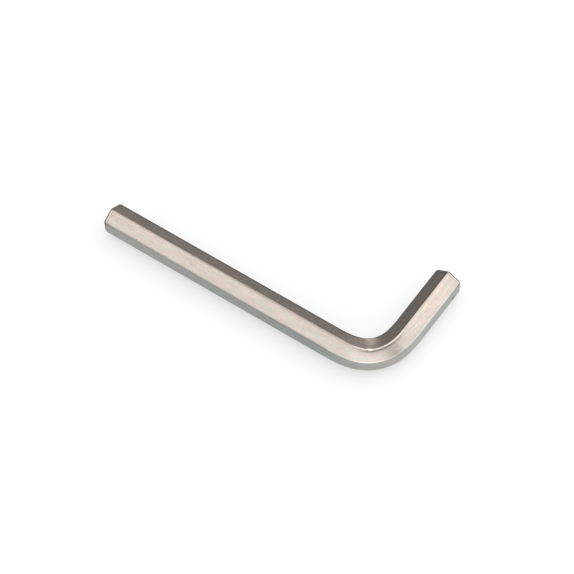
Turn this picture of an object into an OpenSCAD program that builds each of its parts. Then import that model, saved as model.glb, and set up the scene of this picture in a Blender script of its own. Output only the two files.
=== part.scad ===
// Hex key: one bar of hexagon steel, cropped, bevelled at both tips and bent square.
// The long arm lies along X with its tip at -X, the short arm along Y with its tip at +Y.
// The bar has a ridge up and a ridge down, and a flat on the inside and the outside of the bend.

/* [Section] */
// Size across the flats
across_flats = 10; // [7:0.5:12]
// Radius that the drawn bar has along its six ridges
ridge_radius = 0.6; // [0.3:0.05:1]

/* [Arms] */
// Overall length of the long arm, to the outer flat of the short one
long_arm = 122; // [90:1:200]
// Overall length of the short arm, to the outer flat of the long one
short_arm = 50; // [42:1:90]

/* [Bend] */
// How far from the crossing of the two axes the bar begins to bend
bend_reach = 18.1; // [16.5:0.1:24]
// How far the section swells inside the bend and draws in outside it, as a share of the strain
section_give = 0.33; // [0:0.01:0.5]
// How far the upper and lower ridges are carried outward at the tightest point
ridge_shift = 0.6; // [0:0.05:1]
// How far the bending tool presses those ridges towards the middle there
ridge_press = 0.45; // [0:0.05:0.8]

/* [Tips] */
// How much the bevel ground around each end face takes off the flats
bevel_depth = 0.35; // [0.1:0.05:0.8]
// How far back along the bar it runs
bevel_length = 0.6; // [0.1:0.05:1]
// How much a cone of the same slope takes off the six ridges at each end face
corner_cut = 0.45; // [0.2:0.05:1]

/* [Hidden] */
$fn = 96;
bend_angle = 90;
// Sections along the bend, and facets round each ridge
bend_steps = 32;
ridge_steps = 5;
// How many times its own size a cutter reaches past the edge that it makes
past = 2;
half_flats = across_flats / 2;
// Half a side of the sharp hexagon, and its corner's distance from the middle
half_side = half_flats * tan(30);
corner_reach = half_flats / cos(30);
// How far from the middle the ridge radii have their centres
ridge_centre = (half_flats - ridge_radius) / cos(30);
// The rounded ridges' distance from the middle, which is the height that the axes lie at
ridge_reach = ridge_centre + ridge_radius;
// The centreline of a bend that takes up a bar of length 1, and the real one's length of bar
unit_path = walk(1 / bend_steps);
bend_run = bend_reach / unit_path[bend_steps][0];
// Radius of the centreline at the middle, where it turns 1.5 times as fast as a plain arc
bend_radius = bend_run / (1.5 * bend_angle * PI / 180);
// Where the two axes cross
cross_x = long_arm / 2 - half_flats;
cross_y = half_flats - short_arm / 2;
// Each tip's distance from there
long_tip = long_arm - half_flats;
short_tip = short_arm - half_flats;

// Heading of the centreline at a share t of the bend: it turns slowly, then fast, then slowly
function heading(t) = bend_angle * (3 * t * t - 2 * t * t * t);

// How sharp the bend is there, from 0 at its ends to 1 at its middle
function sharpness(t) = 4 * t * (1 - t);

// The centreline's points at equal strides, each taken at the heading halfway along it
function direction(t) = [cos(heading(t)), sin(heading(t))];
function walk(stride) = [
    for (i = 0, p = [0, 0];
        i <= bend_steps;
        p = p + stride * direction((i + 0.5) / bend_steps), i = i + 1) p
];

// The straight bar's outline as points [outward, up], anticlockwise from the outer flat
function outline() = [
    for (corner = [0:5]) for (i = [0:ridge_steps])
        let (mid = 30 + 60 * corner, turn = mid - 30 + 60 * i / ridge_steps)
            ridge_centre * [cos(mid), sin(mid)] + ridge_radius * [cos(turn), sin(turn)]
];

// How near a point is to the upper or lower ridge, from 0 at the upright flats to 1
function nearness(up) = max(0, min(1, (abs(up) - half_side) / (corner_reach - half_side)));

// Where bending leaves a point of the outline: the stretched outer side draws in, the squeezed
// inner side swells, and the tool carries the ridges outward and presses them towards the middle
function bent(p, t) =
    let (
        curve = sharpness(t) / bend_radius,
        pull = sharpness(t) * sharpness(t) * nearness(p[1]),
        out = p[0] - section_give * curve * p[0] * p[0] / 2 + ridge_shift * pull,
        up = p[1] * (1 - section_give * curve * p[0]) - sign(p[1]) * ridge_press * pull
    ) [out, up];

// One section as points in space, at a place on the centreline and a share t of the bend
function section(at, t) =
    let (turn = heading(t))
    [for (p = outline()) let (q = bent(p, t)) [at[0] + q[0] * sin(turn), at[1] - q[0] * cos(turn), q[1]]];

// Every section's points, from the long tip through the bend to the short tip
function bar_points() = [
    each section([-long_tip, 0], 0),
    for (i = [0:bend_steps]) each section(bend_run * unit_path[i] - [bend_reach, 0], i / bend_steps),
    each section([0, short_tip], 1)
];

// Two triangles for each facet between neighbouring sections of n points
function skin(sections, n) = [
    for (i = [0:sections - 2]) for (j = [0:n - 1])
        let (a = i * n + j, b = i * n + (j + 1) % n)
            each [[a, b, b + n], [a, b + n, a + n]]
];

// The whole bar before its tips are ground, with the crossing of the two axes at the origin
module bar() {
    n = len(outline());
    points = bar_points();
    sections = len(points) / n;
    long_end = [for (j = [0:n - 1]) n - 1 - j];
    short_end = [for (j = [0:n - 1]) len(points) - n + j];
    polyhedron(points, [long_end, each skin(sections, n), short_end]);
}

// What is ground off the tip of a bar that runs to +X from the origin: a bevel along each
// flat's edge, and a cone over the six ridges
module tip_cutters() {
    bevel = [bevel_length, bevel_depth];
    cone = [corner_cut, corner_cut * bevel_length / bevel_depth];
    for (flat = [0:5]) rotate([60 * flat, 0, 0])
        linear_extrude(across_flats, center = true)
            translate([0, half_flats - bevel_depth])
                polygon(past * [-bevel, bevel, [-bevel[0], bevel[1]]]);
    rotate([0, 90, 0]) rotate_extrude()
        translate([ridge_reach - corner_cut, 0])
            polygon(past * [-cone, cone, [cone[0], -cone[1]]]);
}

module hex_key() {
    color("silver") translate([cross_x, cross_y, ridge_reach]) difference() {
        bar();
        translate([-long_tip, 0, 0]) tip_cutters();
        translate([0, short_tip, 0]) rotate(-90) tip_cutters();
    }
}

hex_key();
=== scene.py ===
import math

import bpy
import numpy as np
from mathutils import Matrix, Vector


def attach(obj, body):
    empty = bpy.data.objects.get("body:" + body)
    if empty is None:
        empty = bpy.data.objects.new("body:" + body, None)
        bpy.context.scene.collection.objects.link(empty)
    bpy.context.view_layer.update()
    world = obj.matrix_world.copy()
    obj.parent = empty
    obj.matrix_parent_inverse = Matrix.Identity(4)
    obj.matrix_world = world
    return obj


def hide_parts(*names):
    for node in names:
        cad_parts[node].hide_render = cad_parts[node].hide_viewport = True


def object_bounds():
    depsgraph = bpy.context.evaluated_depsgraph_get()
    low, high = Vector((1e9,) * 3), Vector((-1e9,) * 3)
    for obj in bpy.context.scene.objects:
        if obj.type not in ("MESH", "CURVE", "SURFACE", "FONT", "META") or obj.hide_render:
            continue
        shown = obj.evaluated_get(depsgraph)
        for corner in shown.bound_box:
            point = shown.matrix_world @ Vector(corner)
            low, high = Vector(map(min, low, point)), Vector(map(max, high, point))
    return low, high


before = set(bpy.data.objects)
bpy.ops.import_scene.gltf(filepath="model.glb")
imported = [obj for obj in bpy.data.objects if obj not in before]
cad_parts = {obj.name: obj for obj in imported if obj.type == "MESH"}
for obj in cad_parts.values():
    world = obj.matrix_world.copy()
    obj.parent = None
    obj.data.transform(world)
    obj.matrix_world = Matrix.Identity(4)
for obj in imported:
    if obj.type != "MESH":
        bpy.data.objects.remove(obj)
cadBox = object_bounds()
print("frame loaded:", sorted(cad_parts))


# One socket of a node tree. Sums on sockets add Math nodes, and make() adds any other node.
class Wire:
    def __init__(self, tree, socket=None):
        self.tree, self.socket = tree, socket

    def make(self, kind, settings=None, inputs=None, out=0):
        node = self.tree.nodes.new(kind)
        for name, value in (settings or {}).items():
            setattr(node, name, value)
        for key, value in (inputs or {}).items():
            if isinstance(value, Wire):
                self.tree.links.new(value.socket, node.inputs[key])
            else:
                node.inputs[key].default_value = value
        return Wire(self.tree, node.outputs[out] if node.outputs else None)

    def maths(self, operation, *values):
        return self.make("ShaderNodeMath", {"operation": operation}, dict(enumerate(values)))

    def __add__(self, other):
        return self.maths("ADD", self, other)

    def __sub__(self, other):
        return self.maths("SUBTRACT", self, other)

    def __rsub__(self, other):
        return self.maths("SUBTRACT", other, self)

    def __mul__(self, other):
        return self.maths("MULTIPLY", self, other)

    __radd__, __rmul__ = __add__, __mul__

    # 0 below low, 1 above high, and a smooth climb between them
    def climb(self, low, high):
        return self.make("ShaderNodeMapRange", {"interpolation_type": "SMOOTHSTEP"},
                         {0: self, 1: low, 2: high, 3: 0.0, 4: 1.0})

    # 0 below the rise and above the fall, and 1 between them
    def between(self, rise, fall):
        return self.climb(*rise) * (1 - self.climb(*fall))

    # one colour where this is 0 and another where it is 1
    def tint(self, low, high):
        return self.make("ShaderNodeMix", {"data_type": "RGBA"}, {0: self, 6: low, 7: high}, 2)


def startTree(owner):
    owner.use_nodes = True
    owner.node_tree.nodes.clear()
    return Wire(owner.node_tree)


# The camera stands where the photograph was taken from
viewpoint = {
    "azimuth": 38.171,  # degrees, 0 looks along +Y
    "elevation": 56.916,
    "roll": -3.830,
    "distance": 0.9974,
    "aim": (0.009546, -0.009640, 0.005681),
    "lens": 174.76,  # mm
    "sensor": 36,
    "clip": (0.01, 50),
}


# Right, up and back of the camera, from its azimuth, elevation and roll
def cameraAxes():
    a, e, r = (math.radians(viewpoint[k]) for k in ("azimuth", "elevation", "roll"))
    back = Vector((math.sin(a) * math.cos(e), -math.cos(a) * math.cos(e), math.sin(e)))
    level = Vector((math.cos(a), math.sin(a), 0))
    right = math.cos(r) * level + math.sin(r) * back.cross(level)
    return right, back.cross(right), back


def addCamera():
    right, up, back = cameraAxes()
    data = bpy.data.cameras.new("camera")
    data.sensor_width = viewpoint["sensor"]
    data.lens = viewpoint["lens"]
    data.clip_start, data.clip_end = viewpoint["clip"]
    camera = bpy.data.objects.new("camera", data)
    bpy.context.scene.collection.objects.link(camera)
    stand = Vector(viewpoint["aim"]) + viewpoint["distance"] * back
    turned = Matrix((right, up, back)).transposed().to_4x4()
    camera.matrix_world = Matrix.Translation(stand) @ turned
    bpy.context.scene.camera = camera


addCamera()
bpy.context.scene.view_settings.view_transform = "Standard"
print("camera placed")

# The bar's own measures, in metres, as the CAD source has them, and what is finer than it has
bar = {
    "halfFlats": 0.005,
    "ridgeRadius": 0.0006,
    "longTip": 0.117,  # from the crossing of the axes to each tip
    "shortTip": 0.045,
    "crossing": (0.056, -0.020),
    "bendReach": 0.0181,
    "sectionGive": 0.33,
    "ridgeShift": 0.0006,
    "ridgePress": 0.00045,
    "pressPlace": 0.445,  # share of the bend where the tool pressed the ridge flat
    "pressSpread": 0.087,
    "pressShift": 0.0003,
    "pressDepth": 0.00016,
    "pressTilt": 0.22,
    "pressEdge": 0.00004,  # how softly the pressed flat meets what is next to it
    "pressClear": 0.0005,  # how far over the ridge the tool stands away from that place
    "fullPlaces": ((0.12, 0.13, 0.65), (0.75, 0.10, 1.0)),  # where the outer flat stays tall
    "fullHeight": 0.0003,
    "fullDraw": 0.0001,
    "bevelDepth": 0.00035,
    "bevelLength": 0.0006,
    "coneDepth": 0.00045,
    "edgeRound": 0.00008,  # how softly the bevels meet what is next to them
    "faceRings": (0.90, 0.16, 10),  # on an end face, as shares of half the flats, and how many
    "lipRings": (-0.0006, 0.0015, 43),  # from just inside an end face to past its bevel
    "armStep": 0.0006,
    "bendRings": 140,
    "crownTilt": 3.0,  # degrees that the flats fall away by, next to the ridges
    "ridgeSteps": 8,
    "flatSteps": 18,
    "mapMargin": 0.004,  # share of the map that each end face's fan takes
}
halfSixth = math.radians(30)  # from the middle of a flat to a ridge


# Unit heading of the centreline at a share t of the bend: 90 degrees times 3tt - 2ttt
def headingAt(t):
    return np.radians(90 * (3 * t ** 2 - 2 * t ** 3))


# The centreline's points through a bend that takes up a bar of length 1: the running sums of
# the heading's cosine and sine at the middle of each stride
def unitBend(rings):
    turn = headingAt((np.arange(rings) + 0.5) / rings)
    points = np.zeros((rings + 1, 2))
    points[1:] = np.cumsum(np.stack([np.cos(turn), np.sin(turn)], 1), 0) / rings
    return points


# The straight bar's outline as rows (outward, up), anticlockwise from the lower ridge's middle:
# six arcs of the ridge radius, and between them flats that bulge by a fourth power, which
# meets the arcs at the crown's tilt, with more points near the ridges
def barOutline():
    tilt = math.radians(bar["crownTilt"])
    middles = np.radians(np.arange(-90, 271, 60))[:, None]
    turns = middles + np.linspace(-1, 1, bar["ridgeSteps"] + 1) * (halfSixth - tilt)

    def arcsAt(reach):
        return np.stack([reach * np.cos(middles) + bar["ridgeRadius"] * np.cos(turns),
                         reach * np.sin(middles) + bar["ridgeRadius"] * np.sin(turns)], 2)

    reach = (bar["halfFlats"] - bar["ridgeRadius"]) / math.cos(halfSixth)
    first = arcsAt(reach)
    bulge = math.tan(tilt) * np.linalg.norm(first[1, 0] - first[0, -1]) / 8
    arcs = arcsAt(reach - bulge / math.cos(halfSixth))
    share = (1 - np.cos(np.pi * np.arange(1, bar["flatSteps"]) / bar["flatSteps"])) / 2
    flats = arcs[:-1, -1:, :] + share[None, :, None] * (arcs[1:, :1, :] - arcs[:-1, -1:, :])
    facing = middles[:-1] + halfSixth
    lift = bulge * (1 - (2 * share - 1) ** 4)
    flats = flats + lift[None, :, None] * np.stack([np.cos(facing), np.sin(facing)], 2)
    whole = np.concatenate([np.concatenate([arcs[:-1], flats], 1).reshape(-1, 2), arcs[-1]])
    half = bar["ridgeSteps"] // 2
    return whole[half:len(whole) - half - 1]


# 0 well below zero, the value itself well above it, and a hyperbola between them
def softPositive(value, softness):
    return (value + np.sqrt(value ** 2 + softness ** 2)) / 2


# Where the rings stand, as distances from the long tip's end face: close rings at the tips,
# long strides along the arms and short ones through the bend. A ring of an end face stands
# outside it by as much as it closes in on the middle. Then where the bend begins, how much of
# the bar it takes, and the bar's length.
def ringPlaces():
    run = bar["bendReach"] / unitBend(bar["bendRings"])[-1, 0]
    straight = [bar["longTip"] - bar["bendReach"], bar["shortTip"] - bar["bendReach"]]
    face = -np.linspace(*bar["faceRings"]) * bar["halfFlats"]
    lip = np.linspace(*bar["lipRings"])
    arms = [np.linspace(lip[-1], s, int(s / bar["armStep"]))[1:] for s in straight]
    longEnd, shortEnd = ([*face, *lip, *arm] for arm in arms)
    total = straight[0] + run + straight[1]
    inBend = straight[0] + run * np.arange(1, bar["bendRings"]) / bar["bendRings"]
    places = np.concatenate([longEnd, inBend, total - np.array(shortEnd)[::-1]])
    return places, straight[0], run, total


# The outline at each ring's share t of a bend of length run, which is sharpest, 4t(1 - t) = 1,
# in its middle. The stretched outer side draws in and the squeezed inner side swells with the
# strain, the tool carries the ridges outward and presses them in, the outer flat stays taller
# at a few places, and a short tilted flat is pressed into the upper and lower ridges.
def bentOutline(outline, t, run):
    sharp = 4 * t * (1 - t)
    tightest = run / (1.5 * math.pi / 2)
    curve = sharp / tightest
    out, up = outline[:, 0][None], outline[:, 1][None]
    halfSide = bar["halfFlats"] * math.tan(halfSixth)
    cornerReach = bar["halfFlats"] / math.cos(halfSixth)
    near = np.clip((np.abs(up) - halfSide) / (cornerReach - halfSide), 0, 1)
    pull = sharp ** 2 * near
    give = bar["sectionGive"]
    bentOut = out - give * curve * out ** 2 / 2 + bar["ridgeShift"] * pull
    bentUp = up * (1 - give * curve * out) - np.sign(up) * bar["ridgePress"] * pull

    full = sum(size * np.exp(-((t - place) / spread) ** 2)
               for place, spread, size in bar["fullPlaces"])
    full = full * (1 - (1 - sharp) ** 4) * np.clip(out / bar["halfFlats"], 0, 1) ** 2
    bentOut = bentOut - bar["fullDraw"] * full
    bentUp = bentUp + np.clip(up / halfSide, -1, 1) * bar["fullHeight"] * full

    pressed = np.exp(-((t - bar["pressPlace"]) / bar["pressSpread"]) ** 2)
    bentOut = bentOut + bar["pressShift"] * pressed * near ** 2
    crest = np.max(bentUp, 1, keepdims=True)
    crestOut = np.take_along_axis(bentOut, np.argmax(bentUp, 1)[:, None], 1)
    limit = (crest + bar["pressClear"] * (1 - pressed) - bar["pressDepth"] * pressed
             - bar["pressTilt"] * pressed * (bentOut - crestOut))
    bentUp = bentUp - np.sign(up) * softPositive(np.abs(bentUp) - limit, bar["pressEdge"])
    return bentOut, bentUp


# The share that each point keeps of its distance from the bar's middle: 1 but for the tips,
# where the bevels cut into the flats, the cone cuts into the ridges, and the rings outside the
# end face close in on its middle
def tipShare(outline, inset, closing):
    soft = bar["edgeRound"]
    normals = np.radians(np.arange(0, 360, 60))
    acrossFlat = np.max(outline @ np.stack([np.cos(normals), np.sin(normals)]), 1)[None]
    fromMiddle = np.hypot(outline[:, 0], outline[:, 1])[None]
    slope = bar["bevelDepth"] / bar["bevelLength"]
    coneLength = bar["coneDepth"] / slope
    bevelled = bar["halfFlats"] - slope * softPositive(bar["bevelLength"] - inset, soft) - closing
    coned = np.max(outline[:, 1]) - slope * softPositive(coneLength - inset, soft) - closing
    return np.minimum(1, np.minimum(bevelled / acrossFlat, coned / fromMiddle))


# Every ring's points: the bent outline, held inside the tips' shares and carried to its place
# on the centreline, which is straight along both arms and follows the heading between them
def sweepBar():
    places, longRun, run, total = ringPlaces()
    outline = barOutline()
    t = np.clip((places - longRun) / run, 0, 1)[:, None]
    bentOut, bentUp = bentOutline(outline, t, run)
    fromTip = np.minimum(places, total - places)[:, None]
    inset = softPositive(fromTip, bar["edgeRound"])
    share = tipShare(outline, inset, softPositive(-fromTip, bar["edgeRound"]))
    bentOut, bentUp = bentOut * share, bentUp * share

    along = np.where(places[:, None] < total / 2, inset, total - inset)[:, 0]
    bend = unitBend(bar["bendRings"]) * run - [bar["bendReach"], 0]
    spots = longRun + run * np.arange(bar["bendRings"] + 1) / bar["bendRings"]
    centre = np.stack([np.interp(along, spots, bend[:, 0]), np.interp(along, spots, bend[:, 1])], 1)
    centre[:, 0] += np.minimum(0, along - longRun)
    centre[:, 1] += np.maximum(0, along - longRun - run)
    turn = headingAt(t)
    x = centre[:, :1] + bentOut * np.sin(turn) + bar["crossing"][0]
    y = centre[:, 1:] - bentOut * np.cos(turn) + bar["crossing"][1]
    axisHeight = (bar["halfFlats"] - bar["ridgeRadius"]) / math.cos(halfSixth) + bar["ridgeRadius"]
    z = np.clip(bentUp + axisHeight, cadBox[0].z, cadBox[1].z)
    return np.stack([x, y, z], 2), outline, along, (4 * t * (1 - t))[:, 0], total


# A closed skin over rings of points: quads between neighbours and a fan to a pole at each end.
# Its map runs from 0 to 1 from ring to ring, and from 0 to 1 round the straight bar's outline.
def skinMesh(name, points, outline):
    rings, count = points.shape[:2]
    poles = np.stack([points[0].mean(0), points[-1].mean(0)])
    corners = np.concatenate([points.reshape(-1, 3), poles])
    i, j = np.meshgrid(np.arange(rings - 1), np.arange(count), indexing="ij")
    following = (j + 1) % count
    quads = np.stack([i * count + j, i * count + following,
                      (i + 1) * count + following, (i + 1) * count + j], 2).reshape(-1, 4)
    around = np.arange(count)
    following = (around + 1) % count
    start = np.stack([around, np.full(count, rings * count), following], 1)
    last = (rings - 1) * count
    finish = np.stack([last + around, last + following, np.full(count, rings * count + 1)], 1)
    mesh = bpy.data.meshes.new(name)
    mesh.from_pydata(corners.tolist(), [], quads.tolist() + start.tolist() + finish.tolist())

    # each corner's place along and round, for every face of one kind
    def mapOf(*corners):
        return np.stack([np.stack(corner, -1) for corner in corners], -2).reshape(-1, 2)

    side = np.hypot(*(np.roll(outline, -1, 0) - outline).T)
    walk = np.concatenate([[0], np.cumsum(side)]) / side.sum()
    span = np.linspace(bar["mapMargin"], 1 - bar["mapMargin"], rings)
    quadMap = mapOf((span[i], walk[j]), (span[i], walk[j + 1]),
                    (span[i + 1], walk[j + 1]), (span[i + 1], walk[j]))
    middle = (walk[:-1] + walk[1:]) / 2
    first, final = np.full(count, span[0]), np.full(count, span[-1])
    startMap = mapOf((first, walk[:-1]), (np.zeros(count), middle), (first, walk[1:]))
    finishMap = mapOf((final, walk[:-1]), (final, walk[1:]), (np.ones(count), middle))
    layer = mesh.uv_layers.new(name="skin")
    layer.data.foreach_set("uv", np.concatenate([quadMap, startMap, finishMap]).ravel())
    mesh.polygons.foreach_set("use_smooth", np.ones(len(mesh.polygons), bool))
    mesh.update()
    return mesh


# A value for every point of the mesh, with one more for each pole
def addValue(mesh, name, values):
    whole = np.concatenate([values.ravel(), [values[0].mean(), values[-1].mean()]])
    mesh.attributes.new(name, "FLOAT", "POINT").data.foreach_set("value", whole.astype(np.float32))


# The bar with four values for its material: millimetres from the long tip, how sharp the bend
# is, 0 on the middle of a flat to 1 on a ridge, and millimetres from the nearest tip
def makeKey():
    points, outline, along, sharp, total = sweepBar()
    mesh = skinMesh("hexKeyBar", points, outline)
    shape = np.ones(points.shape[:2])
    degrees = np.degrees(np.arctan2(outline[:, 1], outline[:, 0]))
    addValue(mesh, "along", along[:, None] * 1000 * shape)
    addValue(mesh, "bend", sharp[:, None] * shape)
    addValue(mesh, "ridge", (np.abs((degrees + 30) % 60 - 30) / 30)[None] * shape)
    addValue(mesh, "tip", np.minimum(along, total - along)[:, None] * 1000 * shape)
    key = bpy.data.objects.new("hexKeyBar", mesh)
    bpy.context.scene.collection.objects.link(key)
    print("bar swept:", len(mesh.polygons), "faces")
    return key


# Satin nickel over drawn steel. Places are in millimetres: along the bar from its long tip,
# round it anticlockwise from the lower ridge, so that the upper ridge is at 17.1, or from the
# nearest tip. A pair of places is where something starts to fade in or out and where it ends.
nickel = {
    "pale": (0.810, 0.726, 0.656, 1),
    "dull": (0.640, 0.564, 0.503, 1),
    "rosy": (1.035, 0.982, 0.99, 1),  # hues multiply the colour
    "olive": (0.975, 1.015, 0.985, 1),
    # the paler colour of worn ridges, also used for painted highlights
    "wearAndPaintedHighlight": (0.99, 0.94, 0.89, 1),
    # grey of a strip of painted shade beside the upper ridge in the bend
    "paintedBendShade": (0.42, 0.42, 0.43, 1),
    # the dark colour of pits, and of painted shade in the groove, behind the rims and along ridges
    "stainAndPaintedShade": (0.22, 0.19, 0.17, 1),
    "girth": 34.2,
    # noises that follow the bar: cells for each millimetre along and round it, layer, detail
    "lines": (0.05, 6, 0.0, 4.0),
    "patches": (0.12, 0.5, 4.0, 3.0),
    "hues": (0.13, 0.40, 8.0, 2.0),
    "marks": (5, 0.8, 12.0, 3.0),
    "bands": (0.015, 1.3, 20.0, 2.0),
    "grain": (0.8, 1.4, 24.0, 4.0),
    "grind": (6000, 200, 16.0, 2.0),  # on the end faces, in cells for each metre
    "grindTurn": 0.4,
    "noiseRoughness": 0.6,
    "toneShares": (0.34, 0.24, 0.20, 0.22),  # of patches, lines, bands and grain
    "toneSpan": (0.37, 0.63),
    "hueSpan": (0.36, 0.64),
    # strips in the bend: place round the bar, fade to both sides, and fades in and out along it
    # a groove beside the upper ridge in the bend, which the bump cuts, and whose darker colour is
    # painted shade
    "grooveWithPaintedShade": (16.26, (0.0, 0.52), (105, 112), (120, 127)),
    # a grey strip of painted shade beside the upper ridge in the bend
    "paintedBendShadeStrip": (16.26, (0.2, 1.6), (108, 113), (117, 122)),
    # a paler strip low on the upper outer face in the bend: a painted highlight
    "stretchedStrip": (12.9, (0.7, 2.1), (103, 108), (113, 118)),
    # at the tips
    "faceEdge": (0.02, 0.10),
    "bevelEdge": (0.45, 0.75),
    # a thin bright rim inside each bevel: a painted highlight
    "lip": ((0.52, 0.62), (0.80, 0.98)),
    # a darker line behind the rim: painted shade
    "paintedShadeBehindLip": ((0.95, 1.10), (1.3, 1.7)),
    # ridges, with a share that is 0 on the middle of a flat and 1 on a ridge
    "outerSide": (3.3, 4.2),  # from the middle of the outer flat
    # ridge wear, with a painted highlight on the short arm's outer ridges
    "wearAndHighlightRidge": (0.84, 0.98),
    "paintedHighlightArm": (118, 130),
    "highlightAndWearShares": (0.65, 0.15),  # a painted highlight on the short arm's outer ridges, and wear on every ridge
    # darker ridges: painted shade along the long arm's outer ridges and along the inner ridges
    "paintedShadeRidge": (0.70, 0.92),
    "paintedShadeArm": (95, 101),
    "paintedShadeShare": 0.6,  # of the outer ridges
    "clearBend": ((104, 110), (122, 128)),  # where the inner ridges have no painted shade
    # pits, in cells of a cell pattern
    "pitCells": 0.2,
    "pitPick": (0.74, 0.76),
    "pitSize": (0.015, 0.045),
    "dent": (151.0, 6.95),  # one deeper pit, along and round
    "dentSize": (0.45, 1.05),
    "dentDepth": 1.5,
    # how far each one turns the colour, moves the roughness, or lifts the skin in metres
    "colours": {"lip": 0.8, "stretched": 0.40, "paintedBendShade": 0.30, "pits": 0.6, "grooveWithPaintedShade": 0.9,
                "paintedShadeBehindLip": 0.25, "paintedRidgeShade": 0.40},
    "roughness": 0.27,
    "rougher": {"lines": 0.10, "patches": 0.08, "wearAndPaintedHighlight": -0.08, "nearTip": -0.10, "endFace": 0.12},
    "lifts": {"lines": 6e-6, "grain": 1e-5, "marks": 5e-6, "grind": 4e-6, "grooveWithPaintedShade": -2e-5,
              "pits": -4e-5},
}


# Drawn lines run along the bar: noise read at (along x 0.05, round x 6) for each millimetre, so
# it is 120 times longer than it is wide. With slower patches, long bands and a fine grain it
# makes the tone between dull and pale, and another noise turns the hue from olive to rosy. Lines
# and grain go to the bump, and lines and patches to the roughness. In the bend the stretched
# skin has fine marks across the bar, and a paler strip there is a painted highlight. Beside the
# upper ridge the tool left a groove, whose darker colour is painted shade, in a grey strip of
# painted shade. Each strip is 1 at its place round the bar, falls off to both sides and fades in
# and out along the bar. Inside the bevels runs a thin bright lip, a painted highlight, with a
# darker line of painted shade behind it. Some ridges are worn, with a painted highlight on the
# short arm's outer ridges, and others are darkened by painted shade. A few cells of a cell
# pattern hold a pit, and the end faces are ground one way.
def nickelMaterial(key):
    material = bpy.data.materials.new("satinNickel")
    wire = startTree(material)
    along, bend, ridge, tip = (wire.make("ShaderNodeAttribute", {"attribute_name": name}, out=2)
                               for name in ("along", "bend", "ridge", "tip"))
    skin = wire.make("ShaderNodeUVMap", {"uv_map": "skin"})
    around = wire.make("ShaderNodeSeparateXYZ", {}, {0: skin}, 1) * nickel["girth"]
    side = tip.climb(*nickel["faceEdge"])
    endFace = 1 - side

    def noise(across, up, layer, detail):
        spot = wire.make("ShaderNodeCombineXYZ", {}, {0: across, 1: up, 2: layer})
        return wire.make("ShaderNodeTexNoise", {"noise_dimensions": "3D"},
                         {"Vector": spot, "Scale": 1.0, "Detail": detail,
                          "Roughness": nickel["noiseRoughness"]})

    # what follows the bar holds still on the end faces
    def barNoise(name):
        lengthwise, roundwise, layer, detail = nickel[name]
        return (noise(along * lengthwise, around * roundwise, layer, detail) - 0.5) * side + 0.5

    def roundFrom(place, fade):
        return 1 - wire.maths("ABSOLUTE", around - place).climb(*fade)

    def strip(name):
        place, fade, rise, fall = nickel[name]
        return roundFrom(place, fade) * along.between(rise, fall)

    lines, patches, hues, marks, bands, grain = map(
        barNoise, ("lines", "patches", "hues", "marks", "bands", "grain"))
    grooveWithPaintedShade, paintedBendShade, stretched = map(strip, ("grooveWithPaintedShade", "paintedBendShadeStrip", "stretchedStrip"))

    place = wire.make("ShaderNodeTexCoord", {}, {}, "Object")
    x, y, z = (wire.make("ShaderNodeSeparateXYZ", {}, {0: place}, axis) for axis in range(3))
    fine, coarse, layer, detail = nickel["grind"]
    grind = noise((x + y + z * nickel["grindTurn"]) * fine,
                  (z - (x + y) * nickel["grindTurn"]) * coarse, layer, detail)

    inCells = wire.make("ShaderNodeCombineXYZ", {}, {
        0: along * nickel["pitCells"], 1: around * nickel["pitCells"]})
    pitDistance, pitColour = (
        wire.make("ShaderNodeTexVoronoi", {"voronoi_dimensions": "2D"},
                  {"Vector": inCells, "Scale": 1.0}, out) for out in ("Distance", "Color"))
    picked = wire.make("ShaderNodeSeparateXYZ", {}, {0: pitColour}, 0).climb(*nickel["pitPick"])
    spot = wire.make("ShaderNodeCombineXYZ", {}, {0: along, 1: around})
    fromDent = wire.make("ShaderNodeVectorMath", {"operation": "DISTANCE"},
                         {0: spot, 1: (*nickel["dent"], 0)}, 1)
    pits = (picked * (1 - pitDistance.climb(*nickel["pitSize"]))
            + (1 - fromDent.climb(*nickel["dentSize"])) * nickel["dentDepth"])

    nearTip = 1 - tip.climb(*nickel["bevelEdge"])
    # the lip is a painted highlight, and the line behind it is painted shade
    lip, paintedShadeBehindLip = tip.between(*nickel["lip"]), tip.between(*nickel["paintedShadeBehindLip"])
    # the outer ridges are worn, with a painted highlight, on the short arm and darkened by painted
    # shade on the long one, and the inner ridges are darkened by painted shade on both arms
    outer = roundFrom(nickel["girth"] / 4, nickel["outerSide"])
    shortArm, everywhere = nickel["highlightAndWearShares"]
    # wear on every ridge, and a painted highlight on the short arm's outer ridges
    wearAndPaintedHighlight = ridge.climb(*nickel["wearAndHighlightRidge"]) * (
        outer * along.climb(*nickel["paintedHighlightArm"]) * shortArm + everywhere)
    # painted shade along ridges
    paintedRidgeShade = side * ridge.climb(*nickel["paintedShadeRidge"]) * (
        outer * (1 - along.climb(*nickel["paintedShadeArm"])) * nickel["paintedShadeShare"]
        + (1 - outer) * (1 - along.between(*nickel["clearBend"])))

    show, rougher, lifts = nickel["colours"], nickel["rougher"], nickel["lifts"]
    tone = sum(share * found for share, found
               in zip(nickel["toneShares"], (patches, lines, bands, grain)))
    tone = tone.climb(*nickel["toneSpan"]).tint(nickel["dull"], nickel["pale"])
    hue = hues.climb(*nickel["hueSpan"]).tint(nickel["olive"], nickel["rosy"])
    colour = wire.make("ShaderNodeMix", {"data_type": "RGBA", "blend_type": "MULTIPLY"},
                       {0: 1.0, 6: tone, 7: hue}, 2)
    # wear and painted highlights turn the colour paler
    bright = wearAndPaintedHighlight + lip * show["lip"] + stretched * show["stretched"]
    # pits, and painted shade in the groove, behind the rims and along ridges
    stainsAndPaintedShade = (pits * show["pits"] + grooveWithPaintedShade * show["grooveWithPaintedShade"] + paintedShadeBehindLip * show["paintedShadeBehindLip"]
               + paintedRidgeShade * show["paintedRidgeShade"])
    colour = bright.tint(colour, nickel["wearAndPaintedHighlight"])
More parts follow.
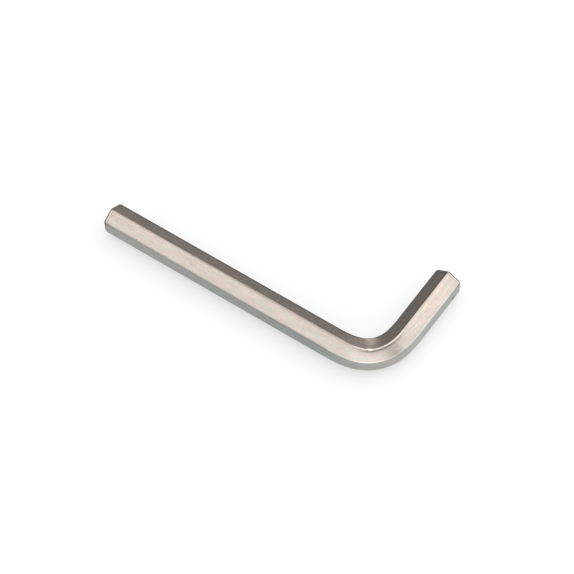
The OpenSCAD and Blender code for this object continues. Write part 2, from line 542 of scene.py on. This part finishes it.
    # painted shade beside the upper ridge in the bend
    colour = (paintedBendShade * show["paintedBendShade"]).tint(colour, nickel["paintedBendShade"])
    colour = stainsAndPaintedShade.tint(colour, nickel["stainAndPaintedShade"])
    roughness = (nickel["roughness"] + (lines - 0.5) * rougher["lines"]
                 + (patches - 0.5) * rougher["patches"] + wearAndPaintedHighlight * rougher["wearAndPaintedHighlight"]
                 + nearTip * rougher["nearTip"] + endFace * rougher["endFace"])
    height = (lines * lifts["lines"] + grain * lifts["grain"] + marks * bend * bend * lifts["marks"]
              + grind * endFace * lifts["grind"] + grooveWithPaintedShade * lifts["grooveWithPaintedShade"] + pits * lifts["pits"])
    bump = wire.make("ShaderNodeBump", {}, {"Height": height, "Strength": 1.0, "Distance": 1.0})
    surface = wire.make("ShaderNodeBsdfPrincipled", {}, {
        "Base Color": colour, "Metallic": 1.0, "Roughness": roughness, "Normal": bump})
    wire.make("ShaderNodeOutputMaterial", {}, {0: surface})
    key.data.materials.append(material)


key = makeKey()
nickelMaterial(key)
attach(key, "root")
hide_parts("hex_key")
print("key finished")

# The studio: a pale floor, one soft lamp behind and above, and cards round the key, which only
# reflections show
studio = {
    "floorSize": 8.0,
    "floorColour": (0.50, 0.50, 0.50, 1),
    "floorGlow": (0.54, 0.54, 0.54, 1),  # what the background has over the lamp's light on it
    "ambient": (0.78, 0.82, 0.84, 1),
    "background": (1, 1, 1, 1),
    "lampWay": (0.32, 0.27, 0.91),  # right, away and up as seen from the camera
    "lampDistance": 1.0,
    "lampSize": 1.00,
    "lampShare": 0.24,  # its light on the floor, as a share of what shows a colour as written
    "lampColour": (1.0, 0.91, 0.85),
    # curved cards: degrees to the right of straight away from the camera, degrees up, distance
    # and brightness
    "domeCards": [
        ("leftCard", (-62, -1), (0, 76), 1.2, (0.185, 0.185, 0.185, 1)),
        ("leftLowCard", (-105, -62), (0, 27), 1.2, (0.03, 0.03, 0.03, 1)),
        ("gapLowCard", (-1, 5), (0, 5), 1.2, (0.14, 0.14, 0.14, 1)),
        ("gapCard", (-1, 5), (26, 75), 1.2, (0.20, 0.20, 0.20, 1)),
        ("rightCard", (5, 54), (0, 74), 1.2, (0.29, 0.28, 0.28, 1)),
        ("rightLowCard", (54, 80), (0, 20), 1.2, (0.05, 0.05, 0.05, 1)),
        ("shortGreyCard", (112, 142), (42, 88), 1.3, (0.45, 0.48, 0.50, 1)),
        ("longGreyCard", (142, 192), (62, 89), 1.3, (0.20, 0.24, 0.21, 1)),
        ("frontCard", (160, 206), (-0.3, 22), 1.3, (2.1, 2.06, 1.98, 1)),
        ("longFrontCard", (212, 255), (-0.3, 22), 1.3, (0.50, 0.50, 0.50, 1)),
    ],
    "domeSteps": 12,
    # flat cards beside the key: whether the last corners follow its outer side, corners, height
    # above the floor, and one colour, or three: at the long tip, before the bend and past it
    "lowCards": [
        ("backLowCard", False,
         [(-1.2, -0.06), (0.10, -0.06), (0.10, 0.09), (0.35, 1.2), (-1.2, 1.2)], 0.00004,
         [(0.04, 0.04, 0.04, 1)]),
        ("backNearCard", False,
         [(-0.11, -0.05), (0.10, -0.05), (0.10, 0.06), (-0.11, 0.06)], 0.00006,
         [(0.13, 0.13, 0.13, 1)]),
        # a grey sheet beside the key's outer side, seen only in reflections: a painted shadow that
        # the outer flats reflect
        ("paintedShadowCard", True,
         [(-0.064, -0.10), (0.13, -0.10), (0.13, 0.028)], 0.00008,
         [(0.46, 0.525, 0.56, 1), (0.38, 0.46, 0.495, 1), (0.55, 0.62, 0.65, 1)]),
    ],
    "colourTurns": ((-0.06, 0.03), (0.025, 0.065)),  # x where one colour turns to the next
    "besideKey": 0.0053,  # how far from the bar's middle the front card begins
    "pastTips": 0.003,
    "besideSteps": 60,
}


# A direction given as right, away and up from where the camera stands, in the object's frame
def seenFromCamera(way):
    a = math.radians(viewpoint["azimuth"])
    right, away = Vector((math.cos(a), math.sin(a), 0)), Vector((-math.sin(a), math.cos(a), 0))
    return (way[0] * right + way[1] * away + way[2] * Vector((0, 0, 1))).normalized()


# 1 for a ray from the camera, a reflection or glass, and 0 for light that falls on things
def backgroundRay(wire):
    camera, glossy, through = (wire.make("ShaderNodeLightPath", {}, {}, "Is " + kind + " Ray")
                               for kind in ("Camera", "Glossy", "Transmission"))
    return wire.maths("MINIMUM", camera + glossy + through, 1.0)


def addFloor():
    h = studio["floorSize"] / 2
    mesh = bpy.data.meshes.new("floor")
    mesh.from_pydata([(-h, -h, 0), (h, -h, 0), (h, h, 0), (-h, h, 0)], [], [(0, 1, 2, 3)])
    floor = bpy.data.objects.new("floor", mesh)
    bpy.context.scene.collection.objects.link(floor)
    material = bpy.data.materials.new("paleFloor")
    wire = startTree(material)
    lit = wire.make("ShaderNodeBsdfDiffuse", {}, {"Color": studio["floorColour"]})
    glow = wire.make("ShaderNodeEmission", {}, {
        "Color": studio["floorGlow"], "Strength": backgroundRay(wire)})
    both = wire.make("ShaderNodeAddShader", {}, {0: lit, 1: glow})
    wire.make("ShaderNodeOutputMaterial", {}, {0: both})
    mesh.materials.append(material)


# Gives a card its brightness, which may turn from one colour to the next along the key
def finishCard(name, mesh, left, middle=None, right=None):
    card = bpy.data.objects.new(name, mesh)
    bpy.context.scene.collection.objects.link(card)
    mesh.materials.append(bpy.data.materials.new(name))
    wire = startTree(mesh.materials[0])
    colour = left
    if middle:
        spot = wire.make("ShaderNodeTexCoord", {}, {}, "Object")
        x = wire.make("ShaderNodeSeparateXYZ", {}, {0: spot}, 0)
        toMiddle, toRight = (x.climb(*turn) for turn in studio["colourTurns"])
        colour = toRight.tint(toMiddle.tint(left, middle), right)
    glow = wire.make("ShaderNodeEmission", {}, {"Color": colour, "Strength": 1.0})
    wire.make("ShaderNodeOutputMaterial", {}, {0: glow})
    card.visible_camera = card.visible_diffuse = card.visible_shadow = False


# A card curved like a piece of a dome over the key, as a grid of azimuth by elevation: each
# point lies at (sin a cos e, cos a cos e, sin e) times the distance, as right, away and up
def domeCard(name, azimuths, elevations, distance, colour):
    steps = studio["domeSteps"]
    a, e = np.meshgrid(np.radians(np.linspace(*azimuths, steps + 1)),
                       np.radians(np.linspace(*elevations, steps + 1)), indexing="ij")
    ways = np.stack([np.sin(a) * np.cos(e), np.cos(a) * np.cos(e), np.sin(e)], 2).reshape(-1, 3)
    basis = np.array([seenFromCamera(axis) for axis in ((1, 0, 0), (0, 1, 0), (0, 0, 1))])
    points = np.array(viewpoint["aim"]) + distance * ways @ basis
    i, j = np.meshgrid(np.arange(steps), np.arange(steps), indexing="ij")
    first = (i * (steps + 1) + j).ravel()
    quads = np.stack([first, first + 1, first + steps + 2, first + steps + 1], 1)
    mesh = bpy.data.meshes.new(name)
    mesh.from_pydata(points.tolist(), [], quads.tolist())
    finishCard(name, mesh, colour)


# The line that the bar's outer side makes on the floor, from the short tip to the long one:
# the centreline moved out square to its heading
def besideLine():
    steps, past = studio["besideSteps"], studio["pastTips"]
    points = unitBend(steps)
    points = points * bar["bendReach"] / points[-1, 0] - [bar["bendReach"], 0]
    points = np.concatenate([[[-bar["longTip"] - past, 0]], points, [[0, bar["shortTip"] + past]]])
    turn = np.concatenate([[0], headingAt(np.arange(steps + 1) / steps), [math.pi / 2]])
    aside = studio["besideKey"] * np.stack([np.sin(turn), -np.cos(turn)], 1)
    return [tuple(point) for point in (points + aside + bar["crossing"])[::-1]]


def lowCard(name, followsKey, corners, height, colours):
    corners = corners + besideLine() if followsKey else corners
    mesh = bpy.data.meshes.new(name)
    mesh.from_pydata([(x, y, height) for x, y in corners], [], [range(len(corners))])
    finishCard(name, mesh, *colours)


# The lamp faces the key. A white floor shows its colour as written where the light on it is pi,
# so the power is the share times the square of pi and of the distance, over the way's height.
def addLamp():
    out = seenFromCamera(studio["lampWay"])
    light = bpy.data.lights.new("softLamp", "AREA")
    light.shape = "SQUARE"
    light.size = studio["lampSize"]
    light.energy = studio["lampShare"] * math.pi ** 2 * studio["lampDistance"] ** 2 / out.z
    light.color = studio["lampColour"]
    lamp = bpy.data.objects.new("softLamp", light)
    lamp.rotation_mode = "QUATERNION"
    lamp.rotation_quaternion = out.to_track_quat("Z", "Y")
    lamp.location = Vector(viewpoint["aim"]) + studio["lampDistance"] * out
    lamp.visible_camera = False
    bpy.context.scene.collection.objects.link(lamp)


def addWorld():
    world = bpy.data.worlds.new("studio")
    bpy.context.scene.world = world
    wire = startTree(world)
    colour = backgroundRay(wire).tint(studio["ambient"], studio["background"])
    sky = wire.make("ShaderNodeBackground", {}, {"Color": colour, "Strength": 1.0})
    wire.make("ShaderNodeOutputWorld", {}, {0: sky})


addFloor()
for card in studio["domeCards"]:
    domeCard(*card)
for card in studio["lowCards"]:
    lowCard(*card)
addLamp()
addWorld()
print("studio set up")
